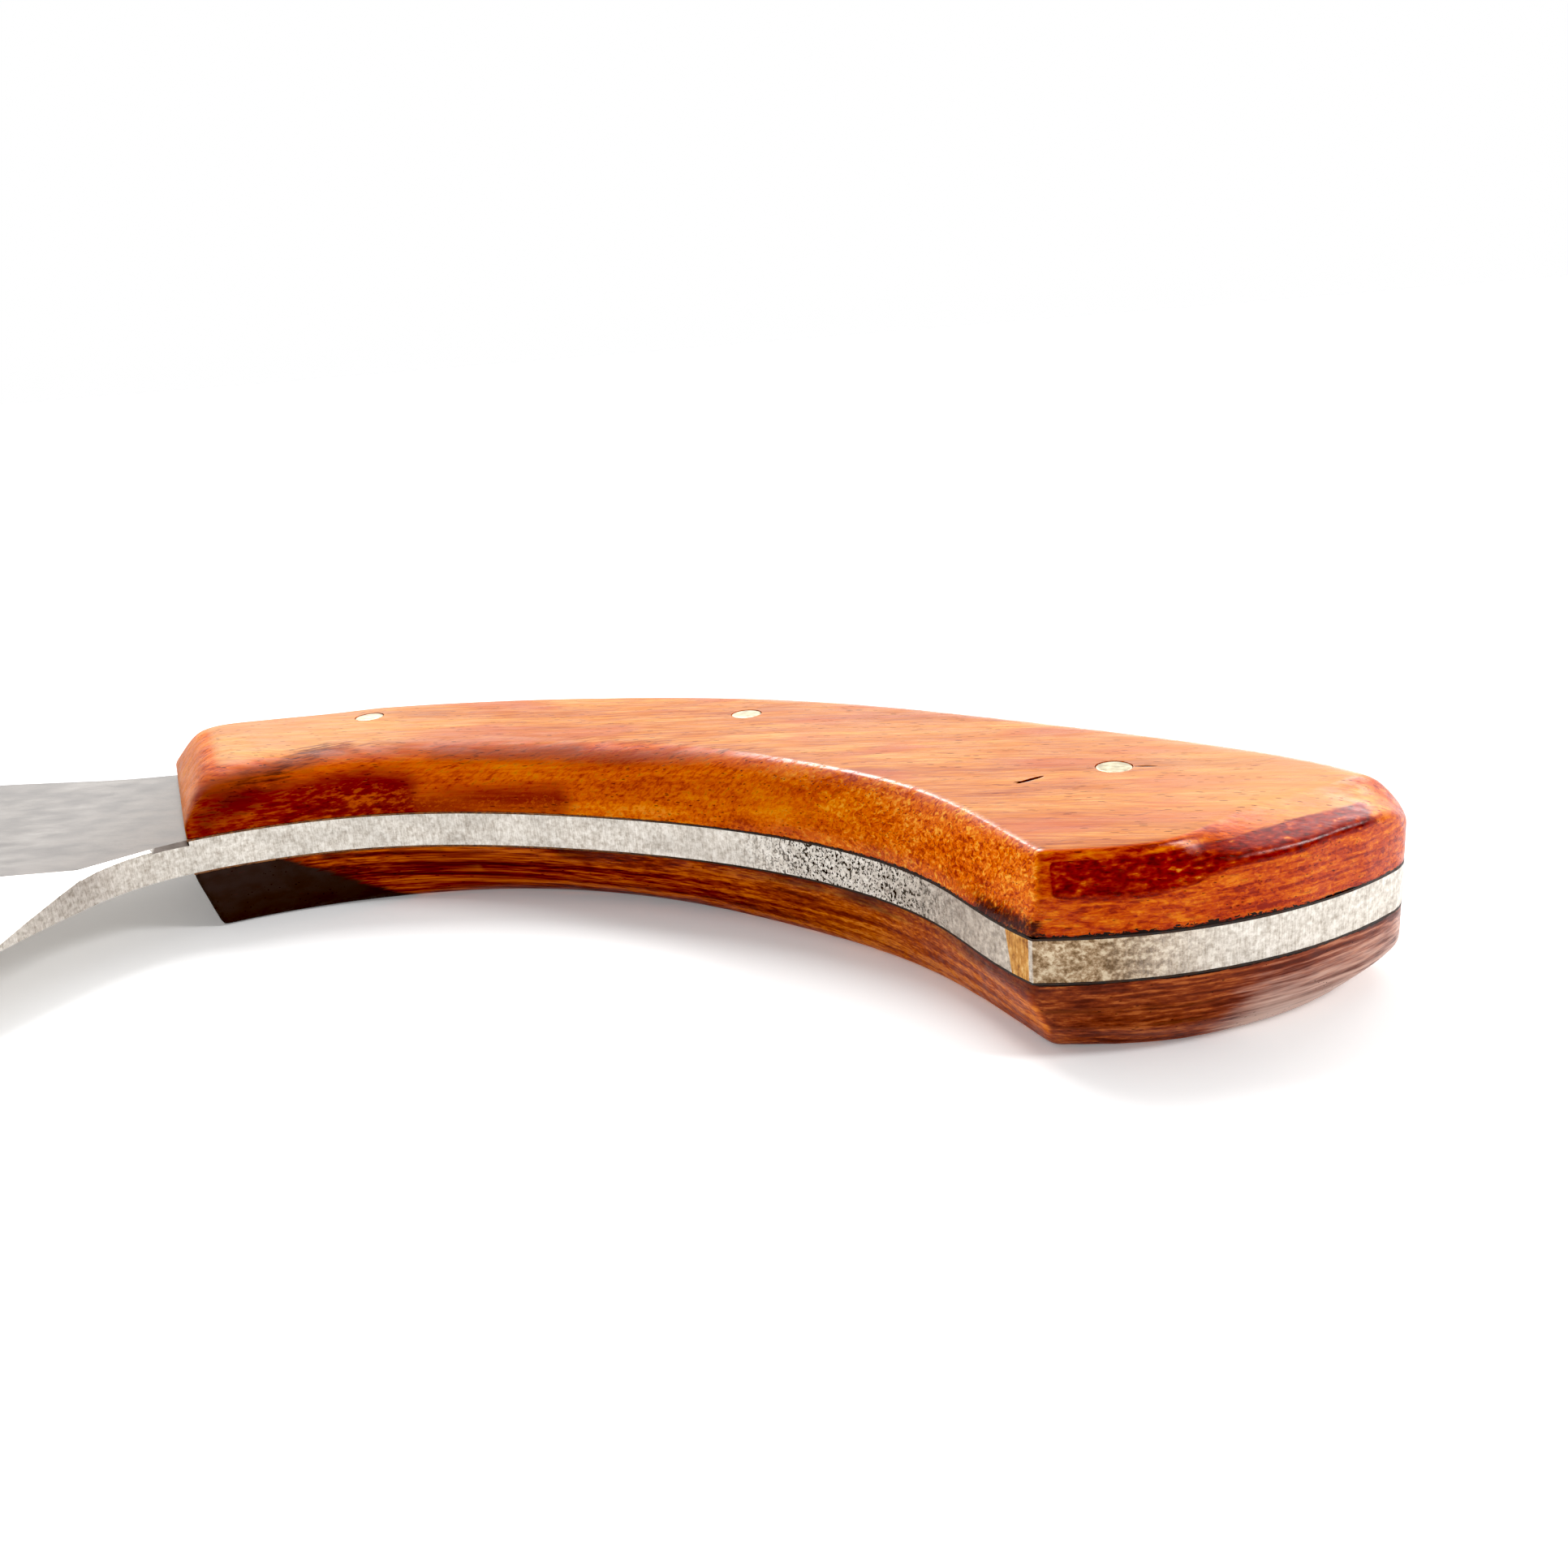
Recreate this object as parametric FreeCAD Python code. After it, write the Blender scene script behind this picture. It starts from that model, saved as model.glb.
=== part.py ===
import FreeCAD, Part
import math
import os

from FreeCAD import Vector

# Hand sickle: one forging is both the blade and the full tang, and two wooden
# scales are glued and pinned to the tang.  Sizes are millimetres and degrees.
# The tool lies flat on its lower scale.  +Z is up, +X runs from the blade to
# the butt, and -Y is the finger side.  The origin is on the middle pin's axis,
# in the plane that the tool rests on.

# --- overall sizes ---
handle_length = 126.0
handle_depth = 70.0
blade_inner_radius = 95.0
blade_sweep = 103.5

# --- thicknesses ---
steel_thickness = 3.5
upper_scale_thickness = 6.8
lower_scale_thickness = 6.4
glue_thickness = 0.2

# --- blade ---
choil_heading = 243.4        # the way the cutting edge leaves the choil
mid_blade_turn = 46.6        # arc from the choil to where the width is set
mid_blade_width = 30.0
shoulder_run = 18.6          # straight spine between the ricasso and the shoulder
shoulder_rise = 2.6
shoulder_radius = 14.0
bevel_width = 16.0           # ground on the upper face only
edge_thickness = 0.4
plunge_angle = 14.7          # fall of the ramp at the start of the bevel

# --- pins ---
pin_diameter = 3.2
pin_clearance = 0.05

# --- shaping of the scales ---
spine_round = 5.4
crown_allowance = 2.0        # the crowns are drawn this far past the outline
upper_front_lean = 3.4
upper_front_drop = 5.0
lower_front_lean = 1.7
lower_front_drop = 6.0

# --- corner inlay ---
inlay_corner_gap = 0.4
inlay_width_bottom = 2.0
inlay_width_top = 2.75
inlay_depth = 1.8

# --- levels and other derived sizes ---
tang_bottom = lower_scale_thickness + glue_thickness
tang_top = tang_bottom + steel_thickness
upper_bottom = tang_top + glue_thickness
upper_top = upper_bottom + upper_scale_thickness
hole_radius = pin_diameter / 2 + pin_clearance
overrun = 4 * crown_allowance
far_away = 4 * blade_inner_radius


def handle_point(along, across):
    """A place on the handle, as shares of its length and of its depth."""
    return Vector(along * handle_length, across * handle_depth, 0)


def heading(degrees):
    angle = math.radians(degrees)
    return Vector(math.cos(angle), math.sin(angle), 0)


def at_level(point, level):
    return Vector(point.x, point.y, level)


# --- the handle's outline ---
near_corner = handle_point(0.168, -0.680)
front_finger = handle_point(-0.468, -0.098)
choil_end = handle_point(-0.522, -0.186)
finger_side = [
    near_corner,
    handle_point(0.148, -0.612),
    handle_point(0.125, -0.510),
    handle_point(0.065, -0.362),
    handle_point(-0.010, -0.254),
    handle_point(-0.166, -0.114),
    handle_point(-0.340, -0.047),
    handle_point(-0.420, -0.066),
    front_finger,
    choil_end,
]
finger_curve = Part.BSplineCurve()
finger_curve.interpolate(Points=finger_side, FinalTangent=heading(choil_heading))

butt_middle = handle_point(0.290, -0.677)
butt_end = handle_point(0.416, -0.570)
corner_middle = handle_point(0.433, -0.515)
far_corner = handle_point(0.424, -0.448)
butt_arc = Part.Arc(butt_end, butt_middle, near_corner).toShape()
corner_arc = Part.Arc(far_corner, corner_middle, butt_end).toShape()

ricasso_top = handle_point(-0.654, 0.286)
front_spine = handle_point(-0.558, 0.279)
spine_side = [
    ricasso_top,
    front_spine,
    handle_point(-0.460, 0.298),
    handle_point(-0.270, 0.283),
    handle_point(-0.080, 0.214),
    handle_point(0.100, 0.066),
    handle_point(0.250, -0.135),
    handle_point(0.370, -0.330),
    far_corner,
]
spine_curve = Part.BSplineCurve()
spine_curve.interpolate(spine_side)

# --- the blade's outline ---
blade_centre = choil_end - heading(choil_heading - 90) * blade_inner_radius


def on_blade(turn, width):
    """A place on the blade: degrees of arc from the choil, and distance off the edge."""
    outward = heading(choil_heading - 90 + turn)
    return blade_centre + outward * (blade_inner_radius + width)


tip = on_blade(blade_sweep, 0)
shoulder = ricasso_top + Vector(-shoulder_run, shoulder_rise, 0)
edge_arc = Part.Arc(choil_end, on_blade(blade_sweep / 2, 0), tip).toShape()
back_arc = Part.Arc(tip, on_blade(mid_blade_turn, mid_blade_width), shoulder).toShape()

pin_places = {
    "pin_front": handle_point(-0.348, 0.180),
    "pin_middle": handle_point(0, 0),
    "pin_rear": handle_point(0.257, -0.403),
}


def stretch(curve, start, end):
    """The edge of a curve between two points that lie on it."""
    return curve.toShape(curve.parameter(start), curve.parameter(end))


def prism(edges, bottom, top):
    face = Part.Face(Part.Wire(Part.__sortEdges__(edges)))
    solid = face.extrude(Vector(0, 0, top - bottom))
    solid.translate(Vector(0, 0, bottom))
    return solid


def extruded_polygon(points, direction):
    return Part.Face(Part.makePolygon(points + points[:1])).extrude(direction)


def handle_prism(bottom, top):
    edges = [
        stretch(finger_curve, near_corner, front_finger),
        Part.makeLine(front_finger, front_spine),
        stretch(spine_curve, front_spine, far_corner),
        corner_arc,
        butt_arc,
    ]
    return prism(edges, bottom, top)


def drill_for_pins(solid):
    for place in pin_places.values():
        below = at_level(place, -overrun)
        drill = Part.makeCylinder(hole_radius, upper_top + 2 * overrun, below)
        solid = solid.cut(drill)
    return solid


# --- steel: blade and tang in one piece ---
def bevel_cutter():
    """What the grinding takes off: a cone along the edge, and a ramp at its start."""
    slope = (steel_thickness - edge_thickness) / bevel_width
    inner = blade_inner_radius - crown_allowance
    outer = blade_inner_radius + bevel_width
    inner_level = tang_bottom + edge_thickness - slope * crown_allowance
    ring_corners = [
        Vector(inner, 0, inner_level),
        Vector(outer, 0, tang_top),
        Vector(outer, 0, tang_top + overrun),
        Vector(inner, 0, tang_top + overrun),
    ]
    section = Part.Face(Part.makePolygon(ring_corners + ring_corners[:1]))
    ring = section.revolve(Vector(0, 0, 0), Vector(0, 0, 1), 360)
    ring.translate(blade_centre)
    left = choil_end.x - far_away
    fall = far_away * math.tan(math.radians(plunge_angle))
    wedge_corners = [
        Vector(left, choil_end.y, tang_top),
        Vector(left, choil_end.y - far_away, tang_top - fall),
        Vector(left, choil_end.y - far_away, tang_top + overrun),
        Vector(left, choil_end.y, tang_top + overrun),
    ]
    wedge = extruded_polygon(wedge_corners, Vector(2 * far_away, 0, 0))
    return ring.common(wedge)


def inlay_block():
    """The notch for the inlay, drawn past the tang's edge."""
    along = finger_side[1] - near_corner
    along.normalize()
    inward = Vector(along.y, -along.x, 0)
    corner = near_corner - inward * overrun

    def place(distance, level):
        return at_level(corner + along * distance, level)

    corners = [
        place(inlay_corner_gap, tang_bottom),
        place(inlay_corner_gap + inlay_width_bottom, tang_bottom),
        place(inlay_corner_gap + inlay_width_top, tang_top),
        place(inlay_corner_gap, tang_top),
    ]
    return extruded_polygon(corners, inward * (overrun + inlay_depth))


def blade():
    edges = [
        stretch(finger_curve, near_corner, choil_end),
        edge_arc,
        back_arc,
        Part.makeLine(shoulder, ricasso_top),
        stretch(spine_curve, ricasso_top, far_corner),
        corner_arc,
        butt_arc,
    ]
    solid = prism(edges, tang_bottom, tang_top)
    shoulder_edges = []
    for edge in solid.Edges:
        if (at_level(edge.CenterOfMass, 0) - shoulder).Length < 0.01:
            shoulder_edges.append(edge)
    solid = solid.makeFillet(shoulder_radius, shoulder_edges)
    solid = solid.cut(bevel_cutter())
    solid = solid.cut(inlay_block())
    return drill_for_pins(solid)


def corner_inlay():
    return inlay_block().common(handle_prism(tang_bottom, tang_top))


# --- wooden scales ---
# Each station is a share of the finger side's curve from the butt, a share of
# the spine's curve from the far corner, and then how the finger side's rim is
# shaped there: how far in it starts, how far down it ends, and its roundness,
# where 1 is a full round and 0 a flat facet.
upper_stations = [
    (0.000, 0.000, 1.0, 5.6, 0.10),
    (0.110, 0.105, 1.8, 5.8, 0.20),
    (0.230, 0.260, 2.4, 5.8, 0.35),
    (0.390, 0.420, 4.0, 5.6, 0.60),
    (0.560, 0.590, 6.0, 5.4, 0.80),
    (0.740, 0.760, 6.5, 5.4, 0.90),
    (0.890, 0.890, 6.5, 5.4, 0.90),
    (0.970, 0.960, 6.5, 5.4, 0.90),
]
lower_stations = [
    (0.000, 0.000, 2.4, 4.8, 0.10),
    (0.110, 0.105, 2.2, 5.0, 0.20),
    (0.230, 0.260, 1.8, 5.0, 0.35),
    (0.390, 0.420, 3.2, 4.8, 0.50),
    (0.560, 0.590, 4.6, 4.6, 0.60),
    (0.740, 0.760, 1.8, 4.0, 0.60),
    (0.890, 0.890, 0.3, 1.0, 0.60),
    (0.970, 0.960, 0.3, 1.0, 0.60),
]

# Round the butt, each rim is a share of the butt's arc from the finger side's
# corner, how far in the bevel starts and how far down it ends.
upper_butt_rims = [
    (0.00, 0.8, 2.9),
    (0.14, 0.9, 3.8),
    (0.26, 1.0, 3.8),
    (0.44, 3.0, 2.0),
    (0.62, 5.4, 1.6),
    (0.90, 5.2, 1.5),
    (1.15, 4.6, 5.2),
    (1.40, 4.6, 5.2),
]
lower_butt_rims = [
    (0.00, 2.0, 2.6),
    (0.25, 1.6, 2.4),
    (0.50, 1.6, 2.4),
    (0.90, 2.6, 2.6),
    (1.15, 3.6, 3.6),
    (1.40, 3.6, 3.6),
]


def along_curve(curve, share):
    first = curve.FirstParameter
    return curve.value(first + share * (curve.LastParameter - first))


def crown_section(ends, seat, crest, rim):
    """A closed wire across the handle: the seat on the tang, rims and flat crest."""
    finger_point, spine_point = ends
    finger_in, finger_drop, roundness = rim
    across = spine_point - finger_point
    width = across.Length
    across.normalize()
    rise = math.copysign(1, crest - seat)

    def place(offset, level):
        return at_level(finger_point + across * offset, level)

    foot = seat - rise * crown_allowance
    finger_low = place(0, crest - rise * finger_drop)
    finger_high = place(finger_in, crest)
    middle = (finger_low + finger_high) * 0.5
    finger_pull = middle + (place(0, crest) - middle) * roundness
    spine_high = place(width - spine_round, crest)
    spine_low = place(width, crest - rise * spine_round)
    finger_foot = place(-crown_allowance, foot)
    spine_foot = place(width + crown_allowance, foot)
    finger_rim = Part.BezierCurve()
    finger_rim.setPoles([finger_low, finger_pull, finger_high])
    spine_rim = Part.BezierCurve()
    spine_rim.setPoles([spine_high, place(width, crest), spine_low])
    return Part.Wire([
        Part.makeLine(finger_foot, finger_low),
        finger_rim.toShape(),
        Part.makeLine(finger_high, spine_high),
        spine_rim.toShape(),
        Part.makeLine(spine_low, spine_foot),
        Part.makeLine(spine_foot, finger_foot),
    ])


def crown(stations, seat, crest):
    """The shaped block that a scale's outline is cut from, past both of its ends."""
    sections = []
    for index, (finger_share, spine_share, *rim) in enumerate(stations):
        ends = [
            along_curve(finger_curve, finger_share),
            along_curve(spine_curve, 1 - spine_share),
        ]
        if index == 0:
            past_near_corner = (near_corner - finger_side[1]).normalize() * overrun
            past_far_corner = (corner_middle - far_corner).normalize() * overrun
            beyond = [ends[0] + past_near_corner, ends[1] + past_far_corner]
            sections.append(crown_section(beyond, seat, crest, rim))
        sections.append(crown_section(ends, seat, crest, rim))
    return Part.makeLoft(sections, True, False)


def rim_cutter(path, crest, rise):
    """A wedge that bevels a rim: path holds places, outward ways, setbacks and drops."""
    sections = []
    for place, outward, setback, drop in path:
        low = at_level(place, crest - rise * drop)
        high = at_level(place - outward * setback, crest)
        fall = low - high
        corners = [
            low + fall,
            high - fall,
            at_level(place + outward * overrun, (high - fall).z),
            at_level(place + outward * overrun, (low + fall).z),
        ]
        sections.append(Part.makePolygon(corners + corners[:1]))
    return Part.makeLoft(sections, True, False)


def butt_cutter(rims, crest, rise):
    """The bevel round the butt, from the finger side's corner to the spine."""
    first, last = butt_arc.LastParameter, butt_arc.FirstParameter
    path = []
    for share, setback, drop in rims:
        parameter = first + share * (last - first)
        tangent = butt_arc.tangentAt(parameter)
        outward = Vector(-tangent.y, tangent.x, 0)
        if outward.y > 0:
            outward = outward * -1
        path.append((butt_arc.valueAt(parameter), outward, setback, drop))
    place, outward, setback, drop = path[0]
    sideways = (near_corner - butt_end).normalize() * overrun
    path.insert(0, (place + sideways, outward, setback, drop))
    return rim_cutter(path, crest, rise)


def front_cutter(lean, drop, crest, rise):
    run = (front_finger - front_spine).normalize()
    outward = Vector(run.y, -run.x, 0)
    ends = [front_spine - run * overrun, front_finger + run * overrun]
    return rim_cutter([(end, outward, lean, drop) for end in ends], crest, rise)


def scale(seat, crest, stations, butt_rims, front_lean, front_drop):
    rise = math.copysign(1, crest - seat)
    solid = handle_prism(min(seat, crest), max(seat, crest))
    solid = solid.common(crown(stations, seat, crest))
    solid = solid.cut(front_cutter(front_lean, front_drop, crest, rise))
    solid = solid.cut(butt_cutter(butt_rims, crest, rise))
    return drill_for_pins(solid)


def upper_scale():
    return scale(
        upper_bottom, upper_top, upper_stations, upper_butt_rims, upper_front_lean, upper_front_drop
    )


def lower_scale():
    return scale(
        lower_scale_thickness, 0, lower_stations, lower_butt_rims, lower_front_lean, lower_front_drop
    )


# --- glue, pins ---
def glue_line(bottom):
    return drill_for_pins(handle_prism(bottom, bottom + glue_thickness))


def pin(place):
    return Part.makeCylinder(pin_diameter / 2, upper_top, place)


parts = {
    "blade": blade(),
    "corner_inlay": corner_inlay(),
    "upper_scale": upper_scale(),
    "lower_scale": lower_scale(),
    "upper_glue_line": glue_line(tang_top),
    "lower_glue_line": glue_line(lower_scale_thickness),
}
for name, place in pin_places.items():
    parts[name] = pin(place)

os.makedirs("parts", exist_ok=True)
for name, shape in parts.items():
    shape.exportStep("parts/" + name + ".step")
    print(name, "%.1f mm3" % shape.Volume, "solids", len(shape.Solids), "valid", shape.isValid())
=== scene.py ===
import math

import bmesh
import bpy
import numpy as np
from mathutils import Matrix, Vector


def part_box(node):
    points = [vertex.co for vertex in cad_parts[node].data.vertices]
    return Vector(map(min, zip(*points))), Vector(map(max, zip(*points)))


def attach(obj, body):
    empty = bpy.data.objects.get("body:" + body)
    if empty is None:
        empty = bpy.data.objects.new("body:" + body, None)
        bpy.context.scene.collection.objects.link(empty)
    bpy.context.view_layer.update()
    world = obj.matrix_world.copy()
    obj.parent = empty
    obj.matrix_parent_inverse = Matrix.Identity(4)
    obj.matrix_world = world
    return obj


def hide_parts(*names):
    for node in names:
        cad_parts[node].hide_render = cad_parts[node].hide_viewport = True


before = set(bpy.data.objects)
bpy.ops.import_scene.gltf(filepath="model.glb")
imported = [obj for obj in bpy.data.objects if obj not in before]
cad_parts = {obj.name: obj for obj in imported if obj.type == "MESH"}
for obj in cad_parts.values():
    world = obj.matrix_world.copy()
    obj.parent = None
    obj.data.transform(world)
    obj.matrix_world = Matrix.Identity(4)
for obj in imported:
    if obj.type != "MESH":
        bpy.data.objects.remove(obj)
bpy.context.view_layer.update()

# Lengths in this script are millimetres; objects are built in metres.
MM = 0.001

# --- places, read from the imported model, and the handle's corner given ---
def node_box(node):
    """The low and high corner of a CAD node, in millimetres."""
    low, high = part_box(node)
    return np.array(low) / MM, np.array(high) / MM


UPPER_LOW, UPPER_HIGH = node_box("upper_scale")
LOWER_LOW, LOWER_HIGH = node_box("lower_scale")
STEEL_LOW, STEEL_HIGH = node_box("blade")
UPPER_SEAT, UPPER_CREST = UPPER_LOW[2], UPPER_HIGH[2]
LOWER_SEAT, LOWER_CREST = LOWER_HIGH[2], LOWER_LOW[2]
TANG_TOP = STEEL_HIGH[2]
PINS = {}
for pin_name in ("pin_front", "pin_middle", "pin_rear"):
    pin_low, pin_high = node_box(pin_name)
    PINS[pin_name] = (pin_low + pin_high) / 2
PIN_RADIUS = (pin_high[0] - pin_low[0]) / 2
# the handle's near corner, the way its butt end runs from there, and the way it faces
NEAR_CORNER = (21.17, -47.6)
BUTT_WAY = (0.93, -0.37)
BUTT_FACING = (0.6, -0.8)

# --- shaping of the wooden scales ---
VOXEL = 0.3  # size of the even mesh that is softened
EXTRA = 3.0  # wood past the seat, cut off again after the softening
PLUG_LAP = 0.4  # how far a plug fills past its pin
HOLE_GAP = 0.05
KEEP_MARGIN = 5  # how far the block that trims a scale reaches past its sides
DRILL_LOW, DRILL_HIGH = -5, 25
SOFT_PASSES, SOFT_SHARE = 12, 0.5
FRONT_PASSES, FRONT_SHARE = 150, 0.7
FRONT_START, FRONT_END = -51, -43
GRAIN_TURN = -12.0  # degrees
SMOOTH_ANGLE = 40.0  # degrees
ROUND_SIDES = 64
# the gouge, its side branch and the slit in the top by the rear pin: start, end, width, depth
TOP_MARKS = [
    ((23.3, -30.7), (26.0, -29.2), 0.55, 0.35),
    ((23.2, -30.2), (24.6, -30.4), 0.30, 0.25),
    ((34.0, -28.6), (36.0, -29.1), 0.30, 0.25),
]

# --- shaping of the steel ---
# at the rim before the handle: place, width on the flat, drop at the rim
BEVEL_START = ((-66.9, -14.4), 1.5, 0.40)
BEVEL_STOP = ((-62.0, -8.65), 0.35, 0.12)
NICK_START = ((-62.0, -8.65), 0.5, 0.30)
NICK_STOP = ((-58.9, -6.7), 0.6, 0.40)
# the brushing runs round a place this far from the middle of the steel, at this reach
CURVE_SHIFT, CURVE_REACH = (6.0, -4.0), 80.0
# from the middle of a pin's end to its rim: share of the radius, drop
PIN_END = [(0.0, 0.0), (0.6, 0.004), (0.85, 0.015), (0.94, 0.035), (0.985, 0.07), (1.0, 0.14)]

# --- light; lamps are placed in metres ---
ROOM_FRONT = 0.35
ROOM_BACK = 1.5
KEY_STRENGTH = 2.2
SIDE_POWER = 2.4
RIGHT_POWER = 0.7
FLOOR_GLOW = 0.2
FLOOR_TONE = 0.9
FLOOR_HALF = 20.0
FLOOR_DROP = 0.00002
KEY_ANGLE = 32  # degrees
KEY_FROM = (-0.2, 0.6, 0.78)
SIDE_PLACE, SIDE_TARGET, SIDE_SIZE = (0.55, -0.17, 0.42), (0.03, -0.04, 0.01), 0.16
RIGHT_PLACE, RIGHT_TARGET, RIGHT_SIZE = (0.42, 0.36, 0.34), (0.04, -0.03, 0.015), 0.22
BLACK_LEVEL = 0.022

# --- camera; place in millimetres, turns in degrees ---
CAMERA_PLACE = (3.4, -143.15, 55.1)
CAMERA_PITCH, CAMERA_ROLL = 17.9, 4.7
CAMERA_LENS, CAMERA_SENSOR = 31.68, 36
CAMERA_CLIP = 0.005


# --- meshes ---
def add_object(name, mesh):
    """A new object in the scene."""
    obj = bpy.data.objects.new(name, mesh)
    bpy.context.scene.collection.objects.link(obj)
    return obj


def mesh_from(work, name):
    """A mesh made from a finished bmesh, which is freed."""
    mesh = bpy.data.meshes.new(name)
    work.to_mesh(mesh)
    work.free()
    return mesh


def copy_of(name, node):
    """A new object with the welded mesh of a CAD node."""
    work = bmesh.new()
    work.from_mesh(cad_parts[node].data)
    bmesh.ops.remove_doubles(work, verts=work.verts, dist=0.001 * MM)
    return add_object(name, mesh_from(work, name))


def settle(obj):
    """Applies the object's modifiers to its mesh."""
    graph = bpy.context.evaluated_depsgraph_get()
    made = bpy.data.meshes.new_from_object(obj.evaluated_get(graph))
    obj.modifiers.clear()
    old = obj.data
    obj.data = made
    bpy.data.meshes.remove(old)


def combine(obj, other, operation):
    """Cuts or keeps the other object's space, and removes that object."""
    cut = obj.modifiers.new("combine", "BOOLEAN")
    cut.object = other
    cut.operation = operation
    cut.solver = "MANIFOLD"
    settle(obj)
    bpy.data.objects.remove(other)


def points_of(obj):
    """The mesh's points, in millimetres."""
    flat = np.empty(len(obj.data.vertices) * 3)
    obj.data.vertices.foreach_get("co", flat)
    return flat.reshape(-1, 3) / MM


def move_points(obj, points):
    obj.data.vertices.foreach_set("co", (points * MM).ravel())
    obj.data.update()


def rod(name, centre, radius, low, high):
    """An upright cylinder between two levels."""
    work = bmesh.new()
    bmesh.ops.create_cone(
        work, cap_ends=True, segments=ROUND_SIDES,
        radius1=radius * MM, radius2=radius * MM, depth=(high - low) * MM,
    )
    mesh = mesh_from(work, name)
    mesh.transform(Matrix.Translation(Vector((centre[0], centre[1], (low + high) / 2)) * MM))
    return add_object(name, mesh)


def block(name, low, high):
    """A box between two corners."""
    work = bmesh.new()
    bmesh.ops.create_cube(work, size=1)
    mesh = mesh_from(work, name)
    low, high = np.array(low), np.array(high)
    size = Matrix.Diagonal(Vector((*(high - low) * MM, 1)))
    mesh.transform(Matrix.Translation(Vector((low + high) / 2 * MM)) @ size)
    return add_object(name, mesh)


def soften(points, pairs, passes, share):
    """Moves each point towards the mean of its neighbours, by its own share."""
    count = np.bincount(pairs.ravel(), minlength=len(points))
    for _ in range(passes):
        mean = np.empty_like(points)
        for axis in range(3):
            there = np.bincount(pairs[:, 0], points[pairs[:, 1], axis], len(points))
            back = np.bincount(pairs[:, 1], points[pairs[:, 0], axis], len(points))
            mean[:, axis] = (there + back) / count
        points = points + share[:, None] * (mean - points)
    return points


def pairs_of(obj):
    """The two points of each edge."""
    flat = np.empty(len(obj.data.edges) * 2, dtype=np.int64)
    obj.data.edges.foreach_get("vertices", flat)
    return flat.reshape(-1, 2)


def ease(value, start, end):
    """0 before start, 1 after end, and a smooth step between them."""
    share = np.clip((value - start) / (end - start), 0, 1)
    return share * share * (3 - 2 * share)


def near_line(points, start, end, radius):
    """1 on a line between two places, falling to 0 at a radius from it."""
    start, end = np.array(start, float), np.array(end, float)
    along = end - start
    share = np.clip((points - start) @ along / (along @ along), 0, 1)
    distance = np.linalg.norm(points - start - share[:, None] * along, axis=1)
    return 1 - ease(distance, 0, radius)


def paint(obj, name, values):
    """Stores a share from 0 to 1 at each point, for the materials to read."""
    layer = obj.data.attributes.new(name, "FLOAT", "POINT")
    layer.data.foreach_set("value", np.clip(values, 0, 1).astype(np.float32))


def shade_smooth(obj):
    """Smooth shading, with an edge wherever two faces meet at a clear angle."""
    obj.data.shade_smooth()
    sharp = obj.data.attributes.get("sharp_edge")
    if sharp:
        obj.data.attributes.remove(sharp)
    obj.data.set_sharp_from_angle(angle=math.radians(SMOOTH_ANGLE))


def pit(start, end, width, depth):
    """A long shallow cutter for a mark in the surface."""
    start, end = Vector(start) * MM, Vector(end) * MM
    work = bmesh.new()
    bmesh.ops.create_icosphere(work, subdivisions=3, radius=1)
    mesh = mesh_from(work, "pit")
    along = end - start
    size = Matrix.Diagonal(Vector((along.length / 2, width * MM / 2, depth * MM, 1)))
    turn = Matrix.Rotation(math.atan2(along.y, along.x), 4, "Z")
    mesh.transform(Matrix.Translation((start + end) / 2) @ turn @ size)
    return add_object("pit", mesh)


def soften_front(points, pairs, seat, rise):
    """Rounds the front end of a scale well over, away from its seat."""
    share = 1 - ease(points[:, 0], FRONT_START, FRONT_END)
    share = share * ease(rise * (points[:, 2] - seat), 1.0, 4.5)
    inside = np.flatnonzero(share > 0)
    place = np.full(len(points), -1)
    place[inside] = np.arange(len(inside))
    kept = place[pairs]
    kept = kept[(kept >= 0).all(axis=1)]
    points[inside] = soften(points[inside], kept, FRONT_PASSES, FRONT_SHARE * share[inside])
    return points


def wooden_scale(name, node, seat, crest, pits=()):
    """A scale with softened ridges, a crisp seat and drilled pin holes."""
    rise = 1 if crest > seat else -1
    obj = copy_of(name, node)
    points = points_of(obj)
    at_seat = np.abs(points[:, 2] - seat) < 0.01
    points[at_seat, 2] -= rise * EXTRA
    move_points(obj, points)
    ends = sorted((seat - rise * EXTRA, crest))
    plugs = [rod("plug", place, PIN_RADIUS + PLUG_LAP, *ends) for place in PINS.values()]
    with bpy.context.temp_override(active_object=obj, selected_editable_objects=[obj, *plugs]):
        bpy.ops.object.join()
    even = obj.modifiers.new("even", "REMESH")
    even.mode = "VOXEL"
    even.voxel_size = VOXEL * MM
    settle(obj)
    points = points_of(obj)
    pairs = pairs_of(obj)
    share = np.full(len(points), SOFT_SHARE)
    points = soften(points, pairs, SOFT_PASSES, share)
    if rise > 0:
        points = soften_front(points, pairs, seat, rise)
    move_points(obj, points)
    span = sorted((seat, crest + rise * EXTRA))
    keep = block(
        "keep",
        (LOWER_LOW[0] - KEEP_MARGIN, LOWER_LOW[1] - KEEP_MARGIN, span[0]),
        (LOWER_HIGH[0] + KEEP_MARGIN, LOWER_HIGH[1] + KEEP_MARGIN, span[1]),
    )
    combine(obj, keep, "INTERSECT")
    for place in PINS.values():
        drill = rod("drill", place, PIN_RADIUS + HOLE_GAP, DRILL_LOW, DRILL_HIGH)
        combine(obj, drill, "DIFFERENCE")
    for mark in pits:
        combine(obj, pit(*mark), "DIFFERENCE")
    shade_smooth(obj)
    return obj


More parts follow.
